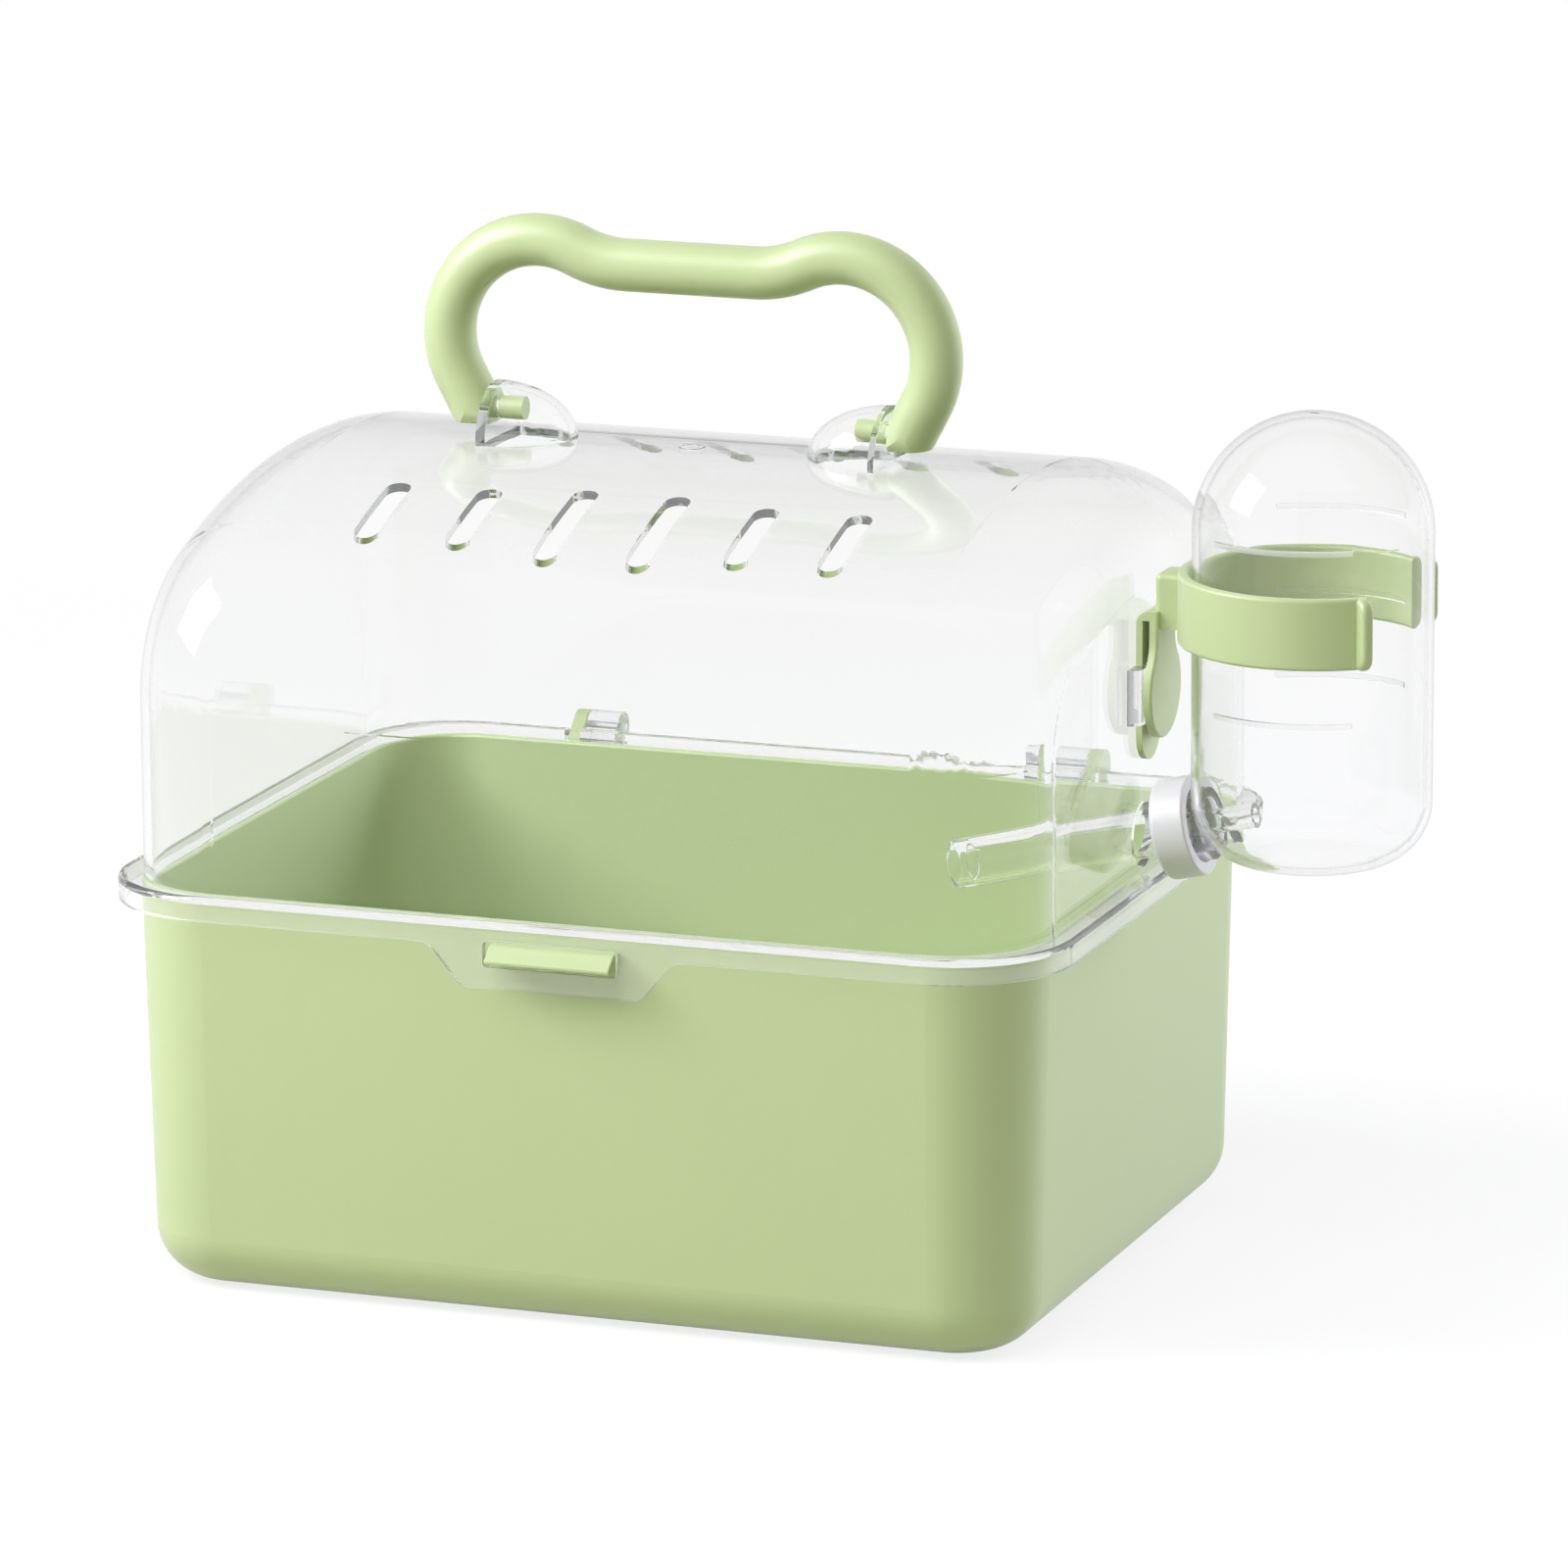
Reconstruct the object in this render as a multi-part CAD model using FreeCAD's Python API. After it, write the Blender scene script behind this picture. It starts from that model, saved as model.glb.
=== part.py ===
import FreeCAD, Part
import math
import os

Vector = FreeCAD.Vector

# Hamster carrier in millimetres. X runs to the bottle end, the latch faces -Y, Z is up,
# and the origin is the middle of the tub's underside.

# Tub, the lower half
tub_length = 223.6
tub_depth = 179.6
tub_height = 95.8
tub_corner_radius = 22.5
tub_draft = 2.25            # each wall leans in this much from rim to floor
tub_foot_radius = 13.3
tub_wall = 2.4
tub_floor = 2.4
tub_rim_round = 0.7

# Hook on the tub's front that the lid's tongue snaps over
hook_width = 30.8
hook_drop = 3.5             # top of the hook below the rim
hook_height = 3.9
hook_ledge = 3.8            # flat top, out from the wall
hook_nose = 0.9             # upright lip under the slope
hook_grip = 2.0             # how far the nose stands out past the tongue
hook_round = 2.4            # where the flat top turns into the slope
hook_edge_round = 0.4

# Lid, one clear moulding
seat_gap = 0.2              # flange above the tub's rim
lid_step_end = 0.4          # lid's end walls outside the tub's
lid_step_side = 1.2         # lid's long walls outside the tub's
lid_wall = 2.0
lid_wall_height = 40.9      # flange top to the spring of the arch
arch_height = 53.1
crown_lift = 8.4            # crown above the tops of the two haunch arcs
lid_end_radius = 26.5
flange_thickness = 1.9
flange_round = 1.4
skirt_gap = 3.6             # free room between skirt and tub
skirt_wall = 2.0
skirt_drop = 4.1            # skirt below the flange's underside
skirt_round = 0.6
gate_radius = 3.2           # ring mark where the moulding was filled
gate_rim = 0.8
gate_height = 0.35

# Tongue on the lid's front, with the slot that takes the hook
latch_play = 1.2            # slot below the hook
slot_head_gap = 1.1         # slot above the hook
slot_side_gap = 1.0
tongue_bar = 5.2            # strip below the slot
tongue_rail = 5.6           # strip beside the slot at the tip
tongue_flare = 8.3          # extra half-width at the root
tongue_tip_round = 4.0
tongue_root_round = 5.0
slot_round = 1.0

# Vents through the roof, in columns along X, in front of and behind the handle
vent_columns = 6
vent_pitch = 22.9
vent_width = 6.2
vent_length = 25.2
vent_middle_length = 31.0   # the two columns either side of the centre
vent_offset = 52.7          # centre of a vent from the middle line

# Hinge at the back
hinge_standoff = 5.1        # pin axis behind the skirt
hinge_rise = 1.6            # pin axis above the tub's rim
hinge_radius = 4.2
hinge_end_gap = 0.4
ear_place = 65.0            # inner face of each ear from the middle
ear_thickness = 3.2
ear_foot_drop = 15.8        # foot of the ear below the rim
ear_top_drop = 0.7          # top of the ear below the rim, under the flange
ear_flange_gap = 0.4
knuckle_length = 8.1
notch_web = 0.6             # flange left outside the lid's wall at each ear
pin_diameter = 2.6
pin_press_gap = 0.02
pin_running_gap = 0.05

# Carrying handle, a round bar
handle_bar = 12.5
grip_rise = 36.0            # grip's centre line above the pivots
grip_half = 16.0            # straight half of the grip
dip_radius = 30.0
shoulder_radius = 23.0
shoulder_rise = 4.8         # shoulders above the grip
leg_lean = 28.0             # degrees that each leg runs in towards its pivot
handle_cheek = 4.3          # flat inner face, in from the leg's centre line
handle_foot = 3.5           # flat end below the pivots
handle_end_relief = 0.05    # rounded end inside the bar's own radius
handle_edge_round = 0.6
fold_clearance = 0.35       # folded bar above the roof
peg_diameter = 5.5
peg_length = 8.3
peg_root = 3.0
peg_running_gap = 0.05

# Hollow lugs on the roof that carry the handle
lug_gap = 0.5
lug_length = 20.5
lug_crown = 6.4             # lug above the pivots
lug_wall = 1.8

# Loop on the lid's right end, and the clip that hooks into it
loop_rise = 37.7            # above the flange
loop_height = 13.2
loop_width = 26.0
loop_strap = 1.3
loop_round = 2.8
clip_clearance = 0.2
clip_side_gap = 0.4
clip_tongue = 1.5
clip_width = 13.8
clip_tail = 10.4            # tongue below the loop
clip_plate = 2.0
clip_disc_radius = 11.5
clip_blend_radius = 8.0
clip_edge_round = 0.6
bridge_wall = 2.2           # joins tongue and plate at the top
bridge_round = 3.0          # towards the lid
neck_rise = 8.7             # neck above the loop
clip_head = 4.2             # clip above the underside of the neck
neck_width = 10.0
neck_height = 13.0
neck_round = 1.4

# Open band of the clip round the bottle
band_clearance = 0.25
band_wall = 2.5
band_height = 16.8
band_sink = 1.7             # band below the neck's underside
band_round = 0.9
mouth_half_angle = 49.0
lip_reach = 3.4             # lip out past the band
lip_thickness = 3.0
lip_round = 1.2
lip_corner_radius = 3.2

# Water bottle
bottle_standoff = 12.8      # bottle's side from the lid's end wall
bottle_rise = 5.8           # bottle's foot above the flange
bottle_radius = 28.1
bottle_height = 106.4
bottle_foot_radius = 15.0
bottle_wall = 1.6
rib_count = 3
rib_drop = 27.6             # highest rib below the bottle's top
rib_pitch = 20.2
rib_height = 1.6
rib_proud = 0.5
rib_draft = 0.2             # lean of each flank
rib_half_angle = 35.7

# Spout, with its cap, gasket and tube on one slanted line
spout_tilt = 13.3           # degrees down towards the lid
spout_height = 7.0          # neck's centre above the bottle's foot
facet_inset = 2.7           # flat for the neck, into the bottle's side
neck_outer_radius = 8.6
neck_bore_radius = 6.6
cap_radius = 11.9
cap_length = 8.6
cap_end_wall = 1.8
cap_round = 1.2
cap_foot_gap = 1.7          # open cap end from the bottle's flat
thread_gap = 0.4
tube_radius = 5.9
tube_bore_radius = 4.4
tube_length = 53.5          # out of the cap
tube_tip_length = 5.0
tube_tip_bore_radius = 3.85
tube_tip_round = 0.7
tube_fit = 0.1
tube_flange_radius = 8.4
tube_flange = 1.2
gasket_thickness = 1.4
gasket_bore_radius = 4.0
stub_radius = 3.2
stub_bore_radius = 2.0
stub_length = 19.5
spout_hole_gap = 1.85       # hole in the lid round the tube

# Common to all pieces
overrun = 5.0               # cutting tools past the faces that they cut
quarter_turn = 90.0
full_turn = 360.0
match = 0.001               # two heights this close are the same
along_x = Vector(1, 0, 0)
along_y = Vector(0, 1, 0)
along_z = Vector(0, 0, 1)
centre = Vector(0, 0, 0)

# Heights and places that several pieces share
flange_z = tub_height + seat_gap
flange_top = flange_z + flange_thickness
skirt_foot = flange_z - skirt_drop
spring_z = flange_top + lid_wall_height
lid_top = spring_z + arch_height
lid_half_length = tub_length / 2 + lid_step_end
lid_half_depth = tub_depth / 2 + lid_step_side
skirt_reach = skirt_gap + skirt_wall
skirt_half_depth = tub_depth / 2 + skirt_reach
hinge_y = skirt_half_depth + hinge_standoff
hinge_z = tub_height + hinge_rise
ear_end = ear_place + ear_thickness
knuckle_end = ear_place - hinge_end_gap
knuckle_start = knuckle_end - knuckle_length
hook_top = tub_height - hook_drop
hook_foot = hook_top - hook_height
pivot_z = lid_top + handle_bar / 2 + fold_clearance
grip_z = pivot_z + grip_rise
loop_foot = flange_top + loop_rise
loop_top = loop_foot + loop_height
slot_depth = clip_tongue + 2 * clip_clearance
neck_foot = loop_top + neck_rise
clip_top = neck_foot + clip_head
bottle_x = lid_half_length + bottle_standoff + bottle_radius
bottle_foot = flange_top + bottle_rise
bottle_top = bottle_foot + bottle_height

# The handle's bends are tangent arcs: the shoulder's centre follows from the two radii
bend_reach = dip_radius + shoulder_radius
bend_fall = bend_reach - shoulder_rise
shoulder_x = grip_half + math.sqrt(bend_reach ** 2 - bend_fall ** 2)
shoulder_z = grip_z + shoulder_rise - shoulder_radius
lean_sine = math.sin(math.radians(leg_lean))
lean_cosine = math.cos(math.radians(leg_lean))
leg_start = Vector(shoulder_x + shoulder_radius * lean_cosine, 0, shoulder_z - shoulder_radius * lean_sine)
leg_at_pivot = leg_start.x - (leg_start.z - pivot_z) * lean_sine / lean_cosine
handle_inner = leg_at_pivot - handle_cheek
lug_face = handle_inner - lug_gap

# Spout line: distances along it are measured from the cap's outer face into the bottle
spout_cosine = math.cos(math.radians(spout_tilt))
spout_sine = math.sin(math.radians(spout_tilt))
spout_in = Vector(spout_cosine, 0, spout_sine)
facet_depth = cap_length + cap_foot_gap
facet_centre = Vector(bottle_x - bottle_radius + facet_inset, 0, bottle_foot + spout_height)
spout_face = facet_centre - spout_in * facet_depth
neck_end = cap_end_wall + tube_flange + gasket_thickness


def line(start, end):
    return Part.LineSegment(start, end).toShape()


def arc(start, middle, end):
    return Part.Arc(start, middle, end).toShape()


def rounded_face(points, radii):
    """A flat face with the given corners, each rounded to its radius, or sharp at zero."""
    starts = []
    middles = []
    ends = []
    for index, corner in enumerate(points):
        back = (points[index - 1] - corner).normalize()
        ahead = (points[(index + 1) % len(points)] - corner).normalize()
        half_angle = back.getAngle(ahead) / 2
        reach = radii[index] / math.tan(half_angle)
        bisector = (back + ahead).normalize()
        starts.append(corner + back * reach)
        ends.append(corner + ahead * reach)
        middles.append(corner + bisector * (radii[index] / math.sin(half_angle) - radii[index]))
    edges = []
    for index in range(len(points)):
        following = (index + 1) % len(points)
        if radii[index] > 0:
            edges.append(arc(starts[index], middles[index], ends[index]))
        edges.append(line(ends[index], starts[following]))
    return Part.Face(Part.Wire(edges))


def sharp_face(points):
    return Part.Face(Part.makePolygon(points + points[:1]))


def slot_face(middle, length, width):
    """A slot with round ends, level, its length along Y."""
    half_run = (length - width) / 2
    radius = width / 2
    left_low = middle + Vector(-radius, -half_run, 0)
    left_high = middle + Vector(-radius, half_run, 0)
    right_low = middle + Vector(radius, -half_run, 0)
    right_high = middle + Vector(radius, half_run, 0)
    edges = [
        line(left_low, left_high),
        arc(left_high, middle + Vector(0, half_run + radius, 0), right_high),
        line(right_high, right_low),
        arc(right_low, middle + Vector(0, -half_run - radius, 0), left_low),
    ]
    return Part.Face(Part.Wire(edges))


def block(low, high):
    size = high - low
    return Part.makeBox(size.x, size.y, size.z, low)


def rod(radius, start, end):
    run = end - start
    return Part.makeCylinder(radius, run.Length, start, run)


def joined(first, *others):
    return first.multiFuse(list(others)).removeSplitter()


def mirrored_x(shape):
    return shape.mirror(centre, along_x)


def mirrored_y(shape):
    return shape.mirror(centre, along_y)


def rounded_block(section, span_x, span_y, core_foot, core_top):
    """A block with round corners: the upright section runs along the sides and turns the corners.

    The section's x is measured outwards from the corners' centres, which lie on a
    rectangle of the given spans.
    """
    core = block(Vector(-span_x / 2, -span_y / 2, core_foot), Vector(span_x / 2, span_y / 2, core_top))
    pieces = []
    for turn in range(4):
        across, along = (span_x, span_y) if turn % 2 == 0 else (span_y, span_x)
        side = section.translated(Vector(across / 2, -along / 2, 0)).extrude(along_y * along)
        corner = section.revolve(centre, along_z, quarter_turn)
        corner = corner.translated(Vector(across / 2, along / 2, 0))
        pieces.append(side.rotated(centre, along_z, quarter_turn * turn))
        pieces.append(corner.rotated(centre, along_z, quarter_turn * turn))
    return joined(core, *pieces)


def tub_form(inset, floor_z, top_z, foot_radius):
    """The tub's drafted form, set in by a wall's thickness for the inside."""
    lean = tub_draft / tub_height
    slope = math.hypot(1, lean)
    foot_centre_z = floor_z + foot_radius
    wall_at_top = tub_corner_radius - inset - lean * (tub_height - top_z)
    wall_at_foot = tub_corner_radius - inset - lean * (tub_height - foot_centre_z)
    foot_centre = Vector(wall_at_foot - foot_radius * slope, 0, foot_centre_z)
    outwards = Vector(1, 0, -lean).normalize()
    downwards = -along_z
    foot_start = foot_centre + downwards * foot_radius
    foot_middle = foot_centre + (outwards + downwards).normalize() * foot_radius
    foot_end = foot_centre + outwards * foot_radius
    corners = [Vector(0, 0, floor_z), Vector(wall_at_top, 0, top_z), Vector(0, 0, top_z)]
    section = Part.Face(Part.Wire([
        line(corners[0], foot_start),
        arc(foot_start, foot_middle, foot_end),
        line(foot_end, corners[1]),
        line(corners[1], corners[2]),
        line(corners[2], corners[0]),
    ]))
    span_x = tub_length - 2 * tub_corner_radius
    span_y = tub_depth - 2 * tub_corner_radius
    return rounded_block(section, span_x, span_y, floor_z, top_z)


def level_edges(shape, height):
    """Edges that lie all along at one height."""
    found = []
    for edge in shape.Edges:
        box = edge.BoundBox
        if abs(box.ZMin - height) < match and abs(box.ZMax - height) < match:
            found.append(edge)
    return found


def make_hook():
    root_y = tub_depth / 2 - tub_wall / 2
    ledge_y = tub_depth / 2 + hook_ledge
    nose_y = skirt_half_depth + hook_grip
    side = -hook_width / 2
    points = [
        Vector(side, -root_y, hook_foot),
        Vector(side, -root_y, hook_top),
        Vector(side, -ledge_y, hook_top),
        Vector(side, -nose_y, hook_foot + hook_nose),
        Vector(side, -nose_y, hook_foot),
    ]
    hook = rounded_face(points, [0, 0, hook_round, 0, 0]).extrude(along_x * hook_width)
    free = [edge for edge in hook.Edges if edge.BoundBox.YMin < -root_y - match]
    return hook.makeFillet(hook_edge_round, free)


def pin_rod(radius, start_x, end_x):
    """A round bar on the right-hand hinge's axis."""
    return rod(radius, Vector(start_x, hinge_y, hinge_z), Vector(end_x, hinge_y, hinge_z))


def make_ear():
    """The right-hand ear, an eye on a gusset that stands out of the tub's back wall."""
    root_y = tub_depth / 2 - tub_wall / 2
    diagonal = hinge_radius / math.sqrt(2)
    flange_edge = lid_half_depth + notch_web + ear_flange_gap
    ear_top = tub_height - ear_top_drop
    gusset = sharp_face([
        Vector(ear_place, root_y, tub_height - ear_foot_drop),
        Vector(ear_place, hinge_y + diagonal, hinge_z - diagonal),
        Vector(ear_place, hinge_y - diagonal, hinge_z + diagonal),
        Vector(ear_place, flange_edge, ear_top),
        Vector(ear_place, root_y, ear_top),
    ])
    return joined(pin_rod(hinge_radius, ear_place, ear_end), gusset.extrude(along_x * ear_thickness))


def make_tub():
    outside = tub_form(0, 0, tub_height, tub_foot_radius)
    inside = tub_form(tub_wall, tub_floor, tub_height + overrun, tub_foot_radius - tub_wall)
    shell = outside.cut(inside)
    shell = shell.makeFillet(tub_rim_round, level_edges(shell, tub_height))
    ear = make_ear()
    tub = joined(shell, make_hook(), ear, mirrored_x(ear))
    hole = pin_rod(pin_diameter / 2 + pin_press_gap, ear_place - overrun, ear_end + overrun)
    return tub.cut([hole, mirrored_x(hole)])


def make_pin():
    """The right-hand hinge pin, flush with the knuckle's and the ear's outer faces."""
    return pin_rod(pin_diameter / 2, knuckle_start, ear_end)


def arch_form(inset, foot_z):
    """The lid's arched form with rounded ends, set in by a wall's thickness for the inside."""
    half_length = lid_half_length - inset
    half_depth = lid_half_depth - inset
    top = lid_top - inset
    height = top - spring_z
    haunch = arch_height - crown_lift - inset
    haunch_y = half_depth - haunch
    crown = (haunch_y ** 2 + height ** 2 - haunch ** 2) / (2 * (height - haunch))
    crown_centre = Vector(-half_length, 0, top - crown)
    haunch_centre = Vector(-half_length, haunch_y, spring_z)
    towards = (haunch_centre - crown_centre).normalize()
    meet = crown_centre + towards * crown
    haunch_middle = haunch_centre + (towards + along_y).normalize() * haunch
    spring = Vector(-half_length, half_depth, spring_z)
    foot = Vector(-half_length, half_depth, foot_z)
    crown_top = Vector(-half_length, 0, top)
    left = [Vector(point.x, -point.y, point.z) for point in (meet, haunch_middle, spring, foot)]
    profile = Part.Face(Part.Wire([
        line(foot, spring),
        arc(spring, haunch_middle, meet),
        arc(meet, crown_top, left[0]),
        arc(left[0], left[1], left[2]),
        line(left[2], left[3]),
        line(left[3], foot),
    ]))
    solid = profile.extrude(along_x * (2 * half_length))
    rims = []
    for edge in solid.Edges:
        box = edge.BoundBox
        at_end = abs(abs(box.Center.x) - half_length) < match and box.XLength < match
        if at_end and box.ZMax > foot_z + match:
            rims.append(edge)
    return solid.makeFillet(lid_end_radius - inset, rims)


def make_flange(tongue):
    """The flange, skirt and tongue, as one plate that the inside is cut from later."""
    radius = tub_corner_radius + skirt_reach
    section = rounded_face(
        [
            Vector(0, 0, flange_z),
            Vector(radius - skirt_wall, 0, flange_z),
            Vector(radius - skirt_wall, 0, skirt_foot),
            Vector(radius, 0, skirt_foot),
            Vector(radius, 0, flange_top),
            Vector(0, 0, flange_top),
        ],
        [0, 0, 0, 0, flange_round, 0],
    )
    span_x = tub_length - 2 * tub_corner_radius
    span_y = tub_depth - 2 * tub_corner_radius
    plate = joined(rounded_block(section, span_x, span_y, flange_z, flange_top), tongue)
    rims = []
    for edge in plate.Edges:
        box = edge.BoundBox
        across = max(box.XLength, box.ZLength) < match and abs(box.YLength - skirt_wall) < match
        if box.ZMax < skirt_foot + match and not across:
            rims.append(edge)
    return plate.makeFillet(skirt_round, rims)


def make_tongue():
    slot_half = hook_width / 2 + slot_side_gap
    slot_foot = hook_foot - latch_play
    slot_top = hook_top + slot_head_gap
    tip_half = slot_half + tongue_rail
    root_half = tip_half + tongue_flare
    collar_half = root_half + 2 * tongue_root_round
    tip_z = slot_foot - tongue_bar
    y = -skirt_half_depth
    outline = rounded_face(
        [
            Vector(-collar_half, y, flange_z),
            Vector(-collar_half, y, skirt_foot),
            Vector(-root_half, y, skirt_foot),
            Vector(-tip_half, y, tip_z),
            Vector(tip_half, y, tip_z),
            Vector(root_half, y, skirt_foot),
            Vector(collar_half, y, skirt_foot),
            Vector(collar_half, y, flange_z),
        ],
        [0, 0, tongue_root_round, tongue_tip_round, tongue_tip_round, tongue_root_round, 0, 0],
    )
    opening = rounded_face(
        [
            Vector(-slot_half, y - overrun, slot_foot),
            Vector(slot_half, y - overrun, slot_foot),
            Vector(slot_half, y - overrun, slot_top),
            Vector(-slot_half, y - overrun, slot_top),
        ],
        [slot_round] * 4,
    )
    return outline.extrude(along_y * skirt_wall), opening.extrude(along_y * (skirt_wall + 2 * overrun))


def make_knuckle():
    """The right-hand knuckle, a barrel on a web from the skirt."""
    barrel = pin_rod(hinge_radius, knuckle_start, knuckle_end)
    web = block(
        Vector(knuckle_start, skirt_half_depth - skirt_wall / 2, hinge_z - hinge_radius),
        Vector(knuckle_end, hinge_y, flange_top),
    )
    return joined(barrel, web)


def ear_notch():
    """Room in the flange and skirt for the right-hand ear."""
    return block(
        Vector(knuckle_end, lid_half_depth + notch_web, skirt_foot - overrun),
        Vector(ear_end + hinge_end_gap, hinge_y, flange_top + overrun),
    )


def lug_form(inset):
    """The right-hand lug, half of an egg with its flat face outwards, set in for the hollow."""
    face_x = lug_face - inset
    tip_x = lug_face - lug_length + inset
    radius = pivot_z + lug_crown - lid_top - inset
    length = face_x - tip_x
    unit = Part.makeSphere(1, centre, along_z, -quarter_turn, quarter_turn, full_turn / 2)
    unit = unit.rotated(centre, along_z, quarter_turn)
    stretch = FreeCAD.Matrix()
    stretch.scale(length, radius, radius)
    return unit.transformGeometry(stretch).translated(Vector(face_x, 0, lid_top))


def make_loop():
    """The loop on the right end wall, and the slot through it for the clip's tongue."""
    outer_x = lid_half_length + slot_depth + loop_strap
    root_x = lid_half_length - lid_wall / 2
    half = loop_width / 2
    outline = rounded_face(
        [
            Vector(root_x, -half, loop_foot),
            Vector(outer_x, -half, loop_foot),
            Vector(outer_x, half, loop_foot),
            Vector(root_x, half, loop_foot),
        ],
        [0, loop_round, loop_round, 0],
    )
    slot_half = clip_width / 2 + clip_side_gap
    slot = block(
        Vector(lid_half_length, -slot_half, loop_foot - overrun),
        Vector(lid_half_length + slot_depth, slot_half, loop_top + overrun),
    )
    return outline.extrude(along_z * loop_height), slot


def make_vents():
    vents = []
    for column in range(vent_columns):
        x = (column - (vent_columns - 1) / 2) * vent_pitch
        length = vent_middle_length if abs(x) < vent_pitch else vent_length
        for side in (-1, 1):
            face = slot_face(Vector(x, side * vent_offset, spring_z), length, vent_width)
            vents.append(face.extrude(along_z * (arch_height + overrun)))
    return vents


def gate_mark():
    foot = Vector(0, 0, lid_top - lid_wall / 2)
    top = Vector(0, 0, lid_top + gate_height)
    return rod(gate_radius, foot, top).cut(rod(gate_radius - gate_rim, foot, top))


def spout_hole():
    """A hole in the right end wall where the slanted tube passes through."""
    middle_x = lid_half_length - lid_wall / 2
    height = spout_face.z - (spout_face.x - middle_x) * spout_sine / spout_cosine
    radius = tube_radius + spout_hole_gap
    return rod(radius, Vector(middle_x - overrun, 0, height), Vector(middle_x + overrun, 0, height))


def make_lid():
    tongue, hook_slot = make_tongue()
    loop, clip_slot = make_loop()
    lug = lug_form(0)
    hollow = lug_form(lug_wall)
    knuckle = make_knuckle()
    notch = ear_notch()
    outside = joined(
        arch_form(0, flange_z), make_flange(tongue), loop, lug, mirrored_x(lug), knuckle, mirrored_x(knuckle)
    )
    lid = outside.cut([arch_form(lid_wall, skirt_foot - overrun), hollow, mirrored_x(hollow)])
    lid = joined(lid, gate_mark())
    pin_hole = pin_rod(pin_diameter / 2 + pin_running_gap, knuckle_start - overrun, knuckle_end + overrun)
    peg_hole = rod(
        peg_diameter / 2 + peg_running_gap,
        Vector(lug_face - lug_wall - overrun, 0, pivot_z),
        Vector(lug_face + overrun, 0, pivot_z),
    )
    pairs = [notch, mirrored_x(notch), pin_hole, mirrored_x(pin_hole), peg_hole, mirrored_x(peg_hole)]
    return lid.cut([hook_slot, clip_slot, spout_hole()] + pairs + make_vents())


def make_handle():
    bar_radius = handle_bar / 2
    end_radius = bar_radius - handle_end_relief
    grip_middle = Vector(0, 0, grip_z)
    grip_end = Vector(grip_half, 0, grip_z)
    dip_centre = Vector(grip_half, 0, grip_z + dip_radius)
    shoulder_centre = Vector(shoulder_x, 0, shoulder_z)
    dip_out = (shoulder_centre - dip_centre).normalize()
    dip_end = dip_centre + dip_out * dip_radius
    dip_middle = dip_centre + (dip_out - along_z).normalize() * dip_radius
    leg_out = Vector(lean_cosine, 0, -lean_sine)
    shoulder_middle = shoulder_centre + (leg_out - dip_out).normalize() * shoulder_radius
    leg_end_z = pivot_z - bar_radius
    leg_end = Vector(leg_start.x - (leg_start.z - leg_end_z) * lean_sine / lean_cosine, 0, leg_end_z)
    path = Part.Wire([
        line(grip_middle, grip_end),
        arc(grip_end, dip_middle, dip_end),
        arc(dip_end, shoulder_middle, leg_start),
        line(leg_start, leg_end),
    ])
    bar = Part.Wire(Part.makeCircle(bar_radius, grip_middle, along_x))
    half = path.makePipeShell([bar], True, False)
    inner_side = block(
        Vector(0, -handle_bar, pivot_z - grip_rise),
        Vector(handle_inner, handle_bar, pivot_z + grip_rise / 2),
    )
    below = block(
        Vector(0, -handle_bar, pivot_z - grip_rise),
        Vector(shoulder_x + grip_rise, handle_bar, pivot_z),
    )
    rounding = rod(end_radius, Vector(0, 0, pivot_z), Vector(shoulder_x + grip_rise, 0, pivot_z))
    floor = block(
        Vector(0, -handle_bar, pivot_z - grip_rise),
        Vector(shoulder_x + grip_rise, handle_bar, pivot_z - handle_foot),
    )
    half = half.cut([inner_side, below.cut(rounding), floor])
    rims = []
    for edge in half.Edges:
        box = edge.BoundBox
        at_cheek = abs(box.XMax - handle_inner) < match
        at_foot = abs(box.ZMax - pivot_z + handle_foot) < match
        if at_cheek or at_foot:
            rims.append(edge)
    half = half.makeFillet(handle_edge_round, rims)
    peg = rod(
        peg_diameter / 2,
        Vector(handle_inner - peg_length, 0, pivot_z),
        Vector(handle_inner + peg_root, 0, pivot_z),
    )
    half = joined(half, peg)
    return joined(half, mirrored_x(half))


def clip_plate_face(x):
    """The clip's outer plate: a disc that narrows through two hollow curves to a strip."""
    half = clip_width / 2
    disc_z = loop_foot + loop_height / 2
    reach = clip_disc_radius + clip_blend_radius
    blend_y = half + clip_blend_radius
    blend_z = disc_z + math.sqrt(reach ** 2 - blend_y ** 2)
    blend_centre = Vector(x, blend_y, blend_z)
    disc_centre = Vector(x, 0, disc_z)
    inwards = (disc_centre - blend_centre).normalize()
    meet = blend_centre + inwards * clip_blend_radius
    blend_middle = blend_centre + (inwards - along_y).normalize() * clip_blend_radius
    blend_end = Vector(x, half, blend_z)
    top = Vector(x, half, clip_top)
    left = [Vector(x, -point.y, point.z) for point in (meet, blend_middle, blend_end, top)]
    return Part.Face(Part.Wire([
        arc(left[0], Vector(x, 0, disc_z - clip_disc_radius), meet),
        arc(meet, blend_middle, blend_end),
        line(blend_end, top),
        line(top, left[3]),
        line(left[3], left[2]),
        arc(left[2], left[1], left[0]),
    ]))


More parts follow.
